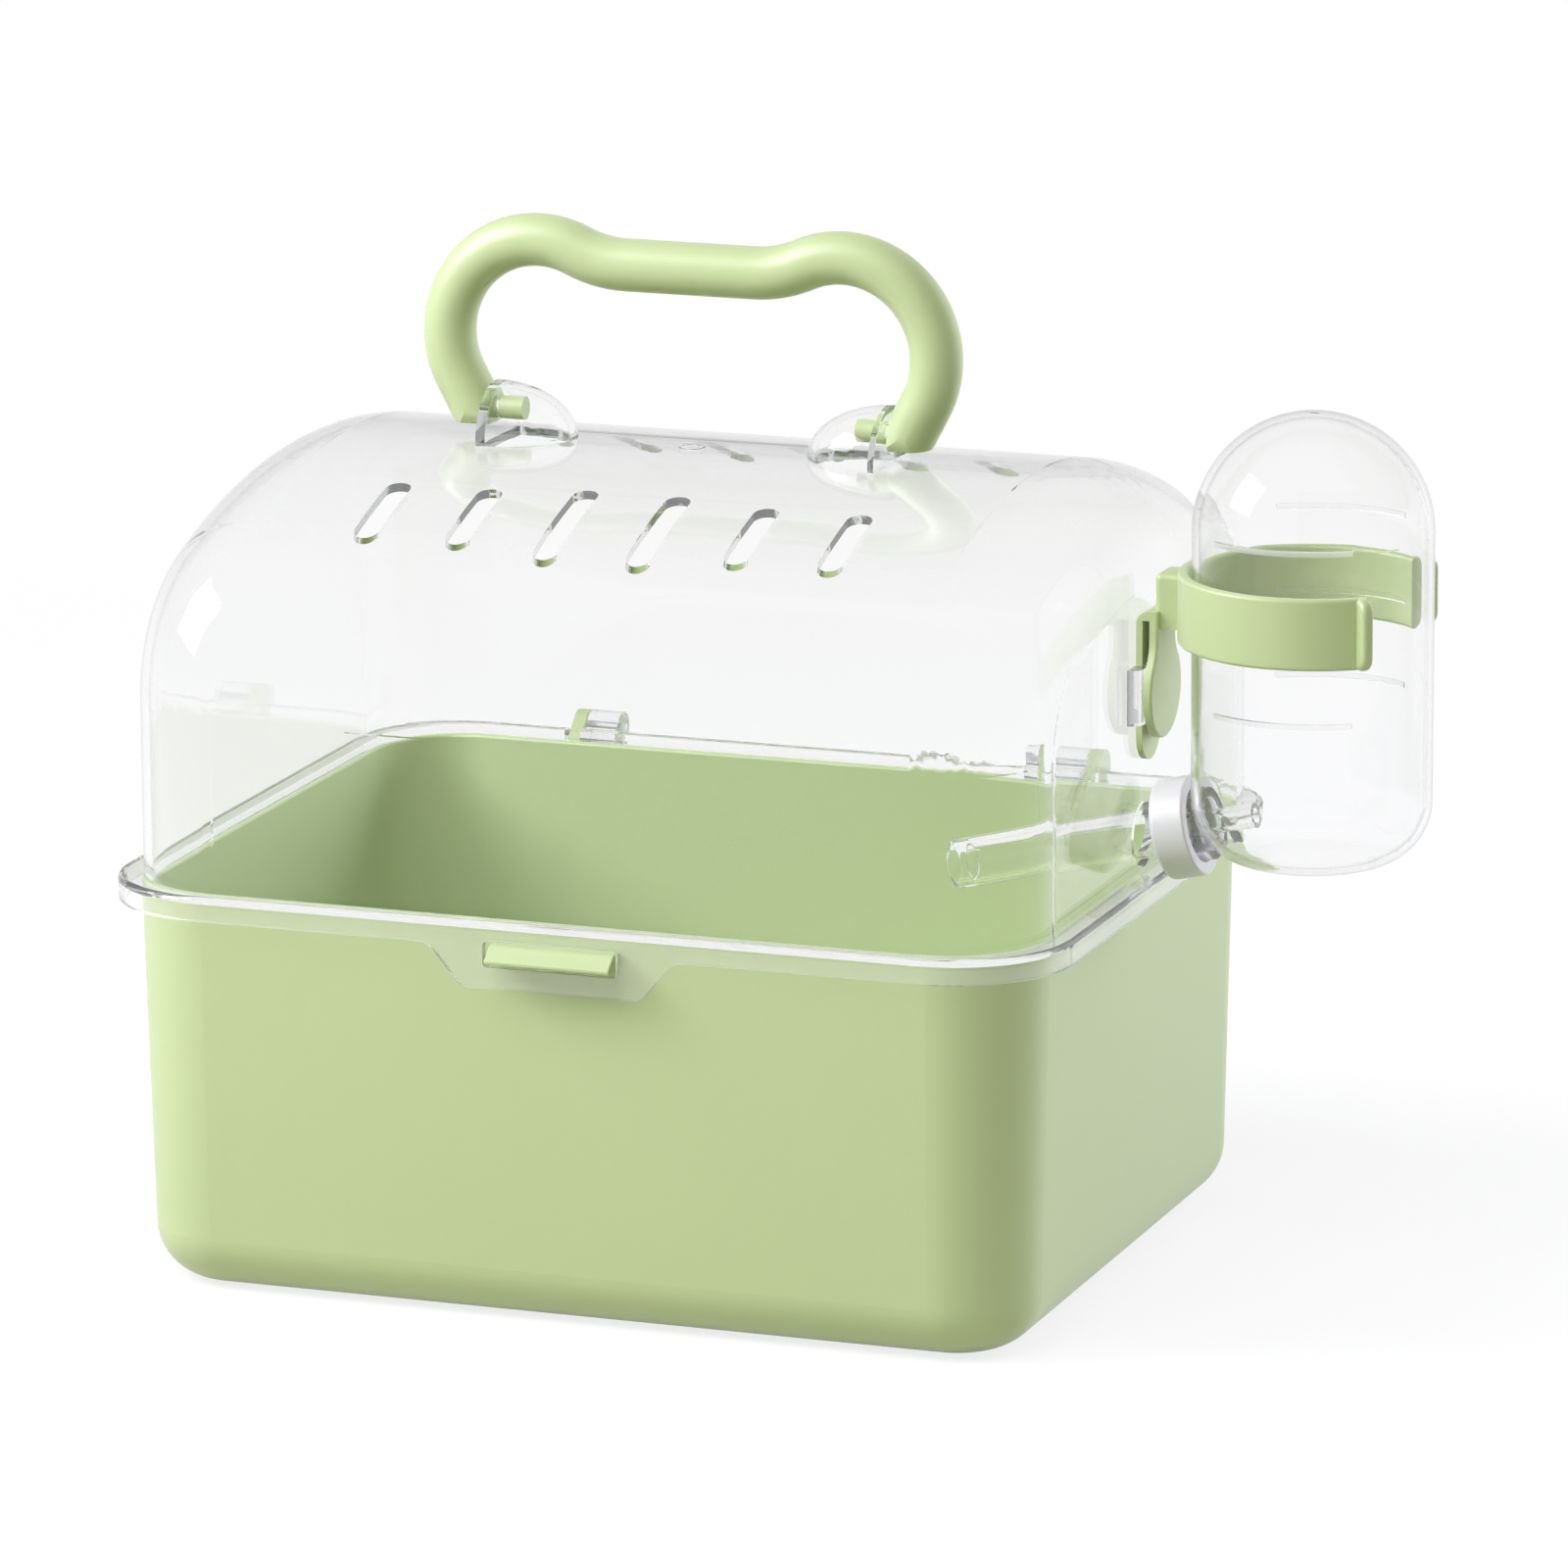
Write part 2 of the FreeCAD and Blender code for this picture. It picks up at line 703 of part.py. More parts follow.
def make_band():
    """The open band round the bottle, with a lip turned out at each end."""
    inner = bottle_radius + rib_proud + band_clearance
    outer = inner + band_wall
    foot = neck_foot - band_sink
    top = foot + band_height
    corners = [Vector(inner, 0, foot), Vector(outer, 0, foot), Vector(outer, 0, top), Vector(inner, 0, top)]
    section = rounded_face(corners, [band_round] * 4)
    section = section.rotated(centre, along_z, mouth_half_angle)
    band = section.revolve(centre, along_z, full_turn - 2 * mouth_half_angle)
    tip = outer + lip_reach
    lip_face = rounded_face(
        [Vector(inner, 0, foot), Vector(tip, 0, foot), Vector(tip, 0, top), Vector(inner, 0, top)],
        [lip_round, lip_corner_radius, lip_corner_radius, lip_round],
    )
    lip = lip_face.extrude(along_y * lip_thickness)
    rims = [edge for edge in lip.Edges if edge.BoundBox.YLength < match]
    lip = lip.makeFillet(lip_round, rims).rotated(centre, along_z, mouth_half_angle)
    return joined(band, lip, mirrored_y(lip)).translated(Vector(bottle_x, 0, 0))


def make_bracket():
    """The clip: a tongue behind the loop, a plate in front of it, and the bottle's band."""
    tongue_x = lid_half_length + clip_clearance
    plate_x = lid_half_length + slot_depth + loop_strap + clip_clearance
    plate_out_x = plate_x + clip_plate
    half = clip_width / 2
    tip = Vector(tongue_x, 0, loop_foot - clip_tail + half)
    tongue = joined(
        block(Vector(tongue_x, -half, tip.z), Vector(tongue_x + clip_tongue, half, clip_top)),
        rod(half, tip, tip + along_x * clip_tongue),
    )
    plate = clip_plate_face(plate_x).extrude(along_x * clip_plate)
    bridge = block(Vector(tongue_x, -half, clip_top - bridge_wall), Vector(plate_out_x, half, clip_top))
    clip = joined(tongue, plate, bridge)
    outer_rims = []
    for edge in clip.Edges:
        box = edge.BoundBox
        if box.XMin > plate_out_x - match and box.XLength < match:
            outer_rims.append(edge)
    clip = clip.makeFillet(clip_edge_round, outer_rims)
    shoulder = []
    for edge in clip.Edges:
        box = edge.BoundBox
        if box.XMax < tongue_x + match and box.ZMin > clip_top - match:
            shoulder.append(edge)
    clip = clip.makeFillet(bridge_round, shoulder)
    neck_top = neck_foot + neck_height
    neck_x = plate_out_x - neck_round
    band_side = bottle_x - bottle_radius - rib_proud - band_clearance - band_wall / 2
    neck = block(Vector(neck_x, -neck_width / 2, neck_foot), Vector(band_side, neck_width / 2, neck_top))
    rims = []
    for edge in neck.Edges:
        box = edge.BoundBox
        upright = box.XMax < neck_x + match and box.ZLength > match
        upper = box.ZMin > neck_top - match and box.XMin < neck_x + match
        if upright or upper:
            rims.append(edge)
    return joined(clip, neck.makeFillet(neck_round, rims), make_band())


def along_spout(shape):
    """Set a piece that was made upright, its foot at the cap's face, on the spout's slanted line."""
    lean = FreeCAD.Rotation(along_y, quarter_turn - spout_tilt)
    moved = shape.copy()
    moved.Placement = FreeCAD.Placement(spout_face, lean).multiply(moved.Placement)
    return moved


def turned(points, radii):
    """A piece turned on the upright axis from its half section."""
    return rounded_face(points, radii).revolve(centre, along_z, full_turn)


def bottle_form(inset):
    """The bottle's round form with its flat for the neck, set in for the hollow."""
    radius = bottle_radius - inset
    foot = bottle_foot + inset
    foot_radius = bottle_foot_radius - inset
    dome_z = bottle_top - bottle_radius
    diagonal = math.sqrt(2)
    foot_centre = Vector(radius - foot_radius, 0, foot + foot_radius)
    foot_start = foot_centre - along_z * foot_radius
    foot_middle = foot_centre + (along_x - along_z) * (foot_radius / diagonal)
    foot_end = foot_centre + along_x * foot_radius
    dome_start = Vector(radius, 0, dome_z)
    dome_middle = Vector(radius / diagonal, 0, dome_z + radius / diagonal)
    dome_end = Vector(0, 0, dome_z + radius)
    half_section = Part.Face(Part.Wire([
        line(Vector(0, 0, foot), foot_start),
        arc(foot_start, foot_middle, foot_end),
        line(foot_end, dome_start),
        arc(dome_start, dome_middle, dome_end),
        line(dome_end, Vector(0, 0, foot)),
    ]))
    body = half_section.revolve(centre, along_z, full_turn).translated(Vector(bottle_x, 0, 0))
    reach = bottle_height
    flat = block(Vector(-reach, -reach, -reach), Vector(reach, reach, facet_depth + inset))
    return body.cut(along_spout(flat))


def make_ribs():
    """Raised ribs on the bottle's front and back."""
    ribs = []
    inner = bottle_radius - bottle_wall / 2
    outer = bottle_radius + rib_proud
    for row in range(rib_count):
        middle = bottle_top - rib_drop - row * rib_pitch
        low = middle - rib_height / 2
        high = middle + rib_height / 2
        section = sharp_face([
            Vector(inner, 0, low),
            Vector(outer, 0, low + rib_draft),
            Vector(outer, 0, high - rib_draft),
            Vector(inner, 0, high),
        ])
        section = section.rotated(centre, along_z, quarter_turn - rib_half_angle)
        rib = section.revolve(centre, along_z, 2 * rib_half_angle)
        ribs.append(rib.translated(Vector(bottle_x, 0, 0)))
        ribs.append(mirrored_y(rib).translated(Vector(bottle_x, 0, 0)))
    return ribs


def make_bottle():
    neck = rod(neck_outer_radius, along_z * neck_end, along_z * (facet_depth + bottle_wall / 2))
    bore_end = facet_depth + bottle_wall + overrun
    bore = rod(neck_bore_radius, along_z * (neck_end - overrun), along_z * bore_end)
    outside = joined(bottle_form(0), along_spout(neck), *make_ribs())
    return outside.cut([bottle_form(bottle_wall), along_spout(bore)])


def make_cap():
    hole = tube_radius + tube_fit
    inside = neck_outer_radius + thread_gap
    points = [
        Vector(hole, 0, 0),
        Vector(cap_radius, 0, 0),
        Vector(cap_radius, 0, cap_length),
        Vector(inside, 0, cap_length),
        Vector(inside, 0, cap_end_wall),
        Vector(hole, 0, cap_end_wall),
    ]
    return along_spout(turned(points, [0, cap_round, cap_round / 2, 0, 0, 0]))


def make_gasket():
    foot = cap_end_wall + tube_flange
    points = [
        Vector(gasket_bore_radius, 0, foot),
        Vector(tube_flange_radius, 0, foot),
        Vector(tube_flange_radius, 0, foot + gasket_thickness),
        Vector(gasket_bore_radius, 0, foot + gasket_thickness),
    ]
    return along_spout(turned(points, [0, 0, 0, 0]))


def make_tube():
    """The sipper tube, clamped by its flange under the cap, with a narrow stub into the bottle."""
    flange_end = cap_end_wall + tube_flange
    stub_end = flange_end + stub_length
    points = [
        Vector(tube_tip_bore_radius, 0, -tube_length),
        Vector(tube_radius, 0, -tube_length),
        Vector(tube_radius, 0, cap_end_wall),
        Vector(tube_flange_radius, 0, cap_end_wall),
        Vector(tube_flange_radius, 0, flange_end),
        Vector(stub_radius, 0, flange_end),
        Vector(stub_radius, 0, stub_end),
        Vector(stub_bore_radius, 0, stub_end),
        Vector(stub_bore_radius, 0, cap_end_wall),
        Vector(tube_bore_radius, 0, cap_end_wall),
        Vector(tube_bore_radius, 0, tube_tip_length - tube_length),
        Vector(tube_tip_bore_radius, 0, tube_tip_length - tube_length),
    ]
    radii = [0] * len(points)
    radii[0] = tube_tip_round
    radii[1] = tube_tip_round
    return along_spout(turned(points, radii))


def main():
    os.makedirs("parts", exist_ok=True)
    pin = make_pin()
    pieces = {
        "base_tub": make_tub(),
        "hinge_pin_left": mirrored_x(pin),
        "hinge_pin_right": pin,
        "dome_lid": make_lid(),
        "bottle_bracket": make_bracket(),
        "carry_handle": make_handle(),
        "water_bottle": make_bottle(),
        "spout_cap": make_cap(),
        "cap_gasket": make_gasket(),
        "sipper_tube": make_tube(),
    }
    for node, shape in pieces.items():
        print(node, "solids", len(shape.Solids), "valid", shape.isValid(), "volume", round(shape.Volume, 1))
        shape.Solids[0].exportStep(os.path.join("parts", node + ".step"))


main()
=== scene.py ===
import bmesh
import bpy
import math
from mathutils import Matrix, Vector


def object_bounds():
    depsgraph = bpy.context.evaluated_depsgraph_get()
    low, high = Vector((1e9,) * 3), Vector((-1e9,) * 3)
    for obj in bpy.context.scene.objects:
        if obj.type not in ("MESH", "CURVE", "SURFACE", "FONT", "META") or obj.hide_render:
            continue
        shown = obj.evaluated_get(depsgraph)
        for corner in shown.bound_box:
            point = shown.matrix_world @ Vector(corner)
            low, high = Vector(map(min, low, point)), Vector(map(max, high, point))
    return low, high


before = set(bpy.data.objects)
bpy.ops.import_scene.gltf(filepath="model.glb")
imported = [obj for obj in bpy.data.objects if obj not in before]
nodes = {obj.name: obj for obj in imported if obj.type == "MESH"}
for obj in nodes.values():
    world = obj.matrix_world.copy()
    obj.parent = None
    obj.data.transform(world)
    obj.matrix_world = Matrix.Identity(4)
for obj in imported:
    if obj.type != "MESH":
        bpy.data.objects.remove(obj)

scene = bpy.context.scene
cadLow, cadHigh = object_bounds()
print("carrier loaded:", len(nodes), "pieces")


# Small helpers for building node trees

def addNode(tree, kind, place=(0, 0), **settings):
    node = tree.nodes.new(kind)
    node.location = place
    for name, value in settings.items():
        setattr(node, name, value)
    return node


def fill(node, values):
    for socket, value in values.items():
        node.inputs[socket].default_value = value


def blankMaterial(name):
    material = bpy.data.materials.new(name)
    material.use_nodes = True
    material.node_tree.nodes.clear()
    return material


def dress(material, *names):
    for name in names:
        slots = nodes[name].data.materials
        slots.clear()
        slots.append(material)


def srgb(red, green, blue):
    def linear(level):                     # the usual curve from screen levels to light
        share = level / 255
        return share / 12.92 if share <= 0.04045 else ((share + 0.055) / 1.055) ** 2.4
    return (linear(red), linear(green), linear(blue), 1)


# Surface group that the opaque plastics share

mould = {
    "flowDetail": 3,
    "grainDetail": 2,
    "inputs": {
        "Base": "NodeSocketColor",
        "Deep": "NodeSocketColor",
        "Grain Scale": "NodeSocketFloat",
        "Flow Scale": "NodeSocketFloat",
        "Rough Low": "NodeSocketFloat",
        "Rough High": "NodeSocketFloat",
    },
    "outputs": {
        "Colour": "NodeSocketColor",
        "Roughness": "NodeSocketFloat",
        "Height": "NodeSocketFloat",
    },
}


def makeMouldGrain(look):
    group = bpy.data.node_groups.new("mouldGrain", "ShaderNodeTree")
    for name, kind in look["inputs"].items():
        group.interface.new_socket(name, in_out="INPUT", socket_type=kind)
    for name, kind in look["outputs"].items():
        group.interface.new_socket(name, in_out="OUTPUT", socket_type=kind)
    start = addNode(group, "NodeGroupInput", (-900, 0))
    end = addNode(group, "NodeGroupOutput", (500, 0))
    place = addNode(group, "ShaderNodeTexCoord", (-900, -300))
    flow = addNode(group, "ShaderNodeTexNoise", (-600, 200))      # slow drift of the melt
    fill(flow, {"Detail": look["flowDetail"]})
    grain = addNode(group, "ShaderNodeTexNoise", (-600, -200))    # spark-eroded mould face
    fill(grain, {"Detail": look["grainDetail"]})
    pits = addNode(group, "ShaderNodeTexVoronoi", (-600, -500))   # finer pitting in the grain
    blend = addNode(group, "ShaderNodeMix", (0, 200), data_type="RGBA")
    rough = addNode(group, "ShaderNodeMapRange", (0, -50))
    height = addNode(group, "ShaderNodeMath", (0, -350), operation="ADD")
    link = group.links.new
    for texture in (flow, grain, pits):
        link(place.outputs["Object"], texture.inputs["Vector"])
    link(start.outputs["Flow Scale"], flow.inputs["Scale"])
    link(start.outputs["Grain Scale"], grain.inputs["Scale"])
    link(start.outputs["Grain Scale"], pits.inputs["Scale"])
    link(flow.outputs["Fac"], blend.inputs["Factor"])
    link(start.outputs["Deep"], blend.inputs["A"])
    link(start.outputs["Base"], blend.inputs["B"])
    link(grain.outputs["Fac"], rough.inputs["Value"])
    link(start.outputs["Rough Low"], rough.inputs["To Min"])
    link(start.outputs["Rough High"], rough.inputs["To Max"])
    link(grain.outputs["Fac"], height.inputs[0])
    link(pits.outputs["Distance"], height.inputs[1])
    link(blend.outputs["Result"], end.inputs["Colour"])
    link(rough.outputs["Result"], end.inputs["Roughness"])
    link(height.outputs["Value"], end.inputs["Height"])
    return group


mouldGrain = makeMouldGrain(mould)


def grainedPlastic(name, look):
    material = blankMaterial(name)
    tree = material.node_tree
    grain = addNode(tree, "ShaderNodeGroup", (-500, 0), node_tree=mouldGrain)
    fill(grain, {
        "Base": look["base"],
        "Deep": look["deep"],
        "Grain Scale": look["grainScale"],
        "Flow Scale": look["flowScale"],
        "Rough Low": look["roughLow"],
        "Rough High": look["roughHigh"],
    })
    bump = addNode(tree, "ShaderNodeBump", (-250, -250))
    fill(bump, {"Strength": look["bump"], "Distance": look["bumpDepth"]})
    shader = addNode(tree, "ShaderNodeBsdfPrincipled", (0, 0))
    fill(shader, {
        "IOR": look["ior"],
        "Specular IOR Level": look["gloss"],
        "Sheen Weight": look["bloom"],
        "Sheen Roughness": look["bloomRough"],
        "Subsurface Weight": look["soft"],
        "Subsurface Scale": look["softDepth"],
    })
    end = addNode(tree, "ShaderNodeOutputMaterial", (300, 0))
    link = tree.links.new
    link(grain.outputs["Colour"], shader.inputs["Base Color"])
    link(grain.outputs["Roughness"], shader.inputs["Roughness"])
    link(grain.outputs["Height"], bump.inputs["Height"])
    link(bump.outputs["Normal"], shader.inputs["Normal"])
    link(shader.outputs["BSDF"], end.inputs["Surface"])
    return material


# Matte green mouldings: tub, handle and bottle clip

green = {
    "base": srgb(183, 198, 149),
    "deep": srgb(179, 195, 144),
    "grainScale": 2600,
    "flowScale": 14,
    "roughLow": 0.36,
    "roughHigh": 0.46,
    "bump": 0.10,
    "bumpDepth": 0.0001,
    "ior": 1.5,
    "gloss": 0.8,
    "bloom": 0.10,                         # pale veil of the matte grain at a low angle
    "bloomRough": 0.5,
    "soft": 0.0,
    "softDepth": 0.001,
}
greenPlastic = grainedPlastic("greenPlastic", green)
dress(greenPlastic, "base_tub", "carry_handle", "bottle_bracket")
print("green mouldings dressed")


# Translucent pale cap and the soft washer under it

cap = dict(
    green,
    base=srgb(213, 214, 215),
    deep=srgb(204, 205, 207),
    grainScale=1800,
    flowScale=60,
    roughLow=0.30,
    roughHigh=0.42,
    bump=0.06,
    soft=0.35,
    softDepth=0.002,
)
gasket = dict(
    green,
    base=srgb(206, 208, 205),
    deep=srgb(196, 199, 196),
    grainScale=3200,
    flowScale=90,
    roughLow=0.62,
    roughHigh=0.75,
    bump=0.15,
)
dress(grainedPlastic("capPlastic", cap), "spout_cap")
dress(grainedPlastic("gasketRubber", gasket), "cap_gasket")
print("cap and washer dressed")


# Clear polished plastic: lid, bottle and tube

def ribBand(tree, place, look):
    offset = addNode(tree, "ShaderNodeVectorMath", (-1400, -500), operation="SUBTRACT")
    fill(offset, {1: look["axis"]})
    level = addNode(tree, "ShaderNodeVectorMath", (-1200, -500), operation="MULTIPLY")
    fill(level, {1: (1, 1, 0)})
    reach = addNode(tree, "ShaderNodeVectorMath", (-1000, -500), operation="LENGTH")
    wall, rib = look["wallRim"]
    past = addNode(tree, "ShaderNodeMapRange", (-800, -500))
    fill(past, {"From Min": wall, "From Max": rib})
    split = addNode(tree, "ShaderNodeSeparateXYZ", (-1200, -700))
    above = addNode(tree, "ShaderNodeMath", (-1000, -700), operation="GREATER_THAN")
    fill(above, {1: look["aboveNeck"]})
    both = addNode(tree, "ShaderNodeMath", (-600, -600), operation="MULTIPLY")
    link = tree.links.new
    link(place.outputs["Object"], offset.inputs[0])
    link(offset.outputs["Vector"], level.inputs[0])
    link(level.outputs["Vector"], reach.inputs[0])
    link(reach.outputs["Value"], past.inputs["Value"])
    link(place.outputs["Object"], split.inputs["Vector"])
    link(split.outputs["Z"], above.inputs[0])
    link(past.outputs["Result"], both.inputs[0])
    link(above.outputs["Value"], both.inputs[1])
    return both.outputs["Value"]


def skirtBand(tree, place, look):
    split = addNode(tree, "ShaderNodeSeparateXYZ", (-1000, -500))
    upper, lower = look["flangeUnder"]
    below = addNode(tree, "ShaderNodeMapRange", (-800, -500))
    fill(below, {"From Min": upper, "From Max": lower})
    tree.links.new(place.outputs["Object"], split.inputs["Vector"])
    tree.links.new(split.outputs["Z"], below.inputs["Value"])
    return below.outputs["Result"]


def clearPlastic(name, look, satinBand=None):
    material = blankMaterial(name)
    tree = material.node_tree
    place = addNode(tree, "ShaderNodeTexCoord", (-1000, 0))
    sink = addNode(tree, "ShaderNodeTexNoise", (-750, -250))      # faint waviness of the polished mould
    fill(sink, {"Scale": look["waveScale"], "Detail": look["waveDetail"]})
    haze = addNode(tree, "ShaderNodeTexNoise", (-750, 100))       # handling haze
    fill(haze, {"Scale": look["hazeScale"], "Detail": look["hazeDetail"]})
    clean, hazy = look["hazeSpan"]
    rough = addNode(tree, "ShaderNodeMapRange", (-450, 100))
    fill(rough, {
        "From Min": clean,
        "From Max": hazy,
        "To Min": look["roughLow"],
        "To Max": look["roughHigh"],
    })
    bump = addNode(tree, "ShaderNodeBump", (-450, -250))
    fill(bump, {"Strength": look["wave"], "Distance": look["waveDepth"]})
    # painted edge shade: the glass colour is greyed by how far the wall turns from view
    facing = addNode(tree, "ShaderNodeLayerWeight", (-1000, 350))
    edge = addNode(tree, "ShaderNodeMapRange", (-750, 350), interpolation_type="SMOOTHSTEP")
    fill(edge, {"From Min": look["edgeStart"], "From Max": 1})
    tone = addNode(tree, "ShaderNodeMix", (-450, 350), data_type="RGBA")
    fill(tone, {"A": look["tint"], "B": look["edge"]})            # painted edge shade: the wall's tint turns grey where it faces away from view
    shader = addNode(tree, "ShaderNodeBsdfPrincipled", (-150, 0))
    fill(shader, {
        "IOR": look["ior"],
        "Transmission Weight": 1,
        "Specular Tint": look["mirror"],
    })
    veil = addNode(tree, "ShaderNodeBsdfTransparent", (-150, 250))
    fill(veil, {"Color": look["veil"]})
    path = addNode(tree, "ShaderNodeLightPath", (-450, 500))
    either = addNode(tree, "ShaderNodeMath", (-150, 450), operation="MAXIMUM")
    caught = addNode(tree, "ShaderNodeMath", (-150, 650), operation="GREATER_THAN")
    fill(caught, {1: look["deepest"]})                            # light caught inside a wall is let out
    through = addNode(tree, "ShaderNodeMath", (50, 500), operation="MAXIMUM")
    mix = addNode(tree, "ShaderNodeMixShader", (200, 100))
    volume = addNode(tree, "ShaderNodeVolumeAbsorption", (200, -150))
    fill(volume, {"Color": look["body"], "Density": look["density"]})
    end = addNode(tree, "ShaderNodeOutputMaterial", (450, 0))
    link = tree.links.new
    link(facing.outputs["Facing"], edge.inputs["Value"])
    link(edge.outputs["Result"], tone.inputs["Factor"])
    link(tone.outputs["Result"], shader.inputs["Base Color"])
    link(place.outputs["Object"], sink.inputs["Vector"])
    link(place.outputs["Object"], haze.inputs["Vector"])
    link(haze.outputs["Fac"], rough.inputs["Value"])
    roughness = rough.outputs["Result"]
    if satinBand:
        band = satinBand(tree, place, look)
        satin = addNode(tree, "ShaderNodeMath", (-300, 100), operation="MULTIPLY_ADD")
        fill(satin, {1: look["satin"]})
        link(band, satin.inputs[0])
        link(roughness, satin.inputs[2])
        roughness = satin.outputs["Value"]
        link(band, shader.inputs["Coat Weight"])
        fill(shader, {"Coat Roughness": look["coatRough"], "Coat IOR": look["coatIor"]})
    link(roughness, shader.inputs["Roughness"])
    link(sink.outputs["Fac"], bump.inputs["Height"])
    link(bump.outputs["Normal"], shader.inputs["Normal"])
    link(path.outputs["Is Shadow Ray"], either.inputs[0])
    link(path.outputs["Is Diffuse Ray"], either.inputs[1])
    link(path.outputs["Ray Depth"], caught.inputs[0])
    link(either.outputs["Value"], through.inputs[0])
    link(caught.outputs["Value"], through.inputs[1])
    link(through.outputs["Value"], mix.inputs["Fac"])
    link(shader.outputs["BSDF"], mix.inputs[1])
    link(veil.outputs["BSDF"], mix.inputs[2])
    link(mix.outputs["Shader"], end.inputs["Surface"])
    link(volume.outputs["Volume"], end.inputs["Volume"])
    return material


lid = {
    "tint": (0.995, 0.995, 0.995, 1),
    # painted edge shade: grey the lid's wall takes where it turns from view
    "edge": (0.36, 0.37, 0.37, 1),
    "edgeStart": 0.74,
    "mirror": (0.62, 0.62, 0.62, 1),       # a moulding mirrors the room less than glass does
    "ior": 1.41,
    "waveScale": 18,
    "waveDetail": 1,
    "wave": 0.02,
    "waveDepth": 0.0004,
    "hazeScale": 35,
    "hazeDetail": 4,
    "hazeSpan": (0.35, 0.75),
    "roughLow": 0.0,
    "roughHigh": 0.03,
    "veil": (0.99, 0.99, 0.99, 1),
    "body": (0.32, 0.35, 0.33, 1),
    "density": 14,
    "deepest": 9,
    "satin": 0.04,
    "coatRough": 0.30,
    "coatIor": 1.8,
    "flangeUnder": (0.0963, 0.0953),       # heights below which the skirt and tongue are satin
}
bottle = dict(
    lid,
    tint=(0.985, 0.985, 0.985, 1),
    # painted edge shade: grey the bottle's wall takes where it turns from view
    edge=(0.10, 0.10, 0.10, 1),
    edgeStart=0.70,
    waveScale=40,
    hazeScale=60,
    satin=0.40,
    axis=(0.1531, 0, 0),                   # a point on the bottle's upright axis
    wallRim=(0.02815, 0.02830),            # the satin ribs stand out past this radius
    aboveNeck=0.135,
)
tube = dict(lid, waveScale=120, hazeScale=150)
dress(clearPlastic("clearLid", lid, skirtBand), "dome_lid")
dress(clearPlastic("clearBottle", bottle, ribBand), "water_bottle")
dress(clearPlastic("clearTube", tube), "sipper_tube")
print("clear mouldings dressed")


# Drawn steel wire of the hinge pins

def drawnWire(name, look):
    material = blankMaterial(name)
    tree = material.node_tree
    place = addNode(tree, "ShaderNodeTexCoord", (-900, 0))
    stretch = addNode(tree, "ShaderNodeMapping", (-700, 0))
    fill(stretch, {"Scale": look["stretch"]})
    lines = addNode(tree, "ShaderNodeTexNoise", (-500, 0))
    fill(lines, {"Scale": look["lineScale"]})
    tone = addNode(tree, "ShaderNodeValToRGB", (-300, 150))
    tone.color_ramp.elements[0].color = look["dull"]
    tone.color_ramp.elements[1].color = look["bright"]
    rough = addNode(tree, "ShaderNodeMapRange", (-300, -100))
    fill(rough, {"To Min": look["roughLow"], "To Max": look["roughHigh"]})
    bump = addNode(tree, "ShaderNodeBump", (-300, -350))
    fill(bump, {"Strength": look["bump"], "Distance": look["bumpDepth"]})
    shader = addNode(tree, "ShaderNodeBsdfPrincipled", (0, 0))
    fill(shader, {"Metallic": 1})
    end = addNode(tree, "ShaderNodeOutputMaterial", (300, 0))
    link = tree.links.new
    link(place.outputs["Object"], stretch.inputs["Vector"])
    link(stretch.outputs["Vector"], lines.inputs["Vector"])
    link(lines.outputs["Fac"], tone.inputs["Fac"])
    link(lines.outputs["Fac"], rough.inputs["Value"])
    link(lines.outputs["Fac"], bump.inputs["Height"])
    link(tone.outputs["Color"], shader.inputs["Base Color"])
    link(rough.outputs["Result"], shader.inputs["Roughness"])
    link(bump.outputs["Normal"], shader.inputs["Normal"])
    link(shader.outputs["BSDF"], end.inputs["Surface"])
    return material


wire = {
    "stretch": (0.08, 1, 1),
    "lineScale": 4000,
    "dull": (0.50, 0.51, 0.52, 1),
    "bright": (0.68, 0.69, 0.70, 1),
    "roughLow": 0.22,
    "roughHigh": 0.42,
    "bump": 0.15,
    "bumpDepth": 0.00005,
}
dress(drawnWire("pinSteel", wire), "hinge_pin_left", "hinge_pin_right")
print("hinge pins dressed")


# Pale floor that keeps the shadow, and a white room

studio = {
    "floorSpread": 6.0,
    "floorTone": (0.53, 0.53, 0.38, 1),    # what the carrier is lit by from below
    "floorGlow": 0.80,                     # the floor in view near the carrier glows this much,
    "floorShade": 0.17,                    # and this much of it is lit and takes the shadow
    "shadowNear": 0.35,                    # from here outwards the floor in view
    "shadowFar": 0.95,                     # fades to plain white
    "ambient": 0.24,
    "ambientTone": (1.0, 1.0, 0.68, 1),    # warm fill, so that the shaded green stays rich
    "roomStops": ((0.0, 0.95), (0.06, 0.80), (0.25, 0.42), (1.0, 0.22)),   # height and tone in reflections
}


def sightOf(tree, *kinds):
    path = addNode(tree, "ShaderNodeLightPath", (-900, 500))
    sight = path.outputs[kinds[0]]
    for step, kind in enumerate(kinds[1:]):
        larger = addNode(tree, "ShaderNodeMath", (-700 + 200 * step, 500), operation="MAXIMUM")
        tree.links.new(sight, larger.inputs[0])
        tree.links.new(path.outputs[kind], larger.inputs[1])
        sight = larger.outputs["Value"]
    return sight


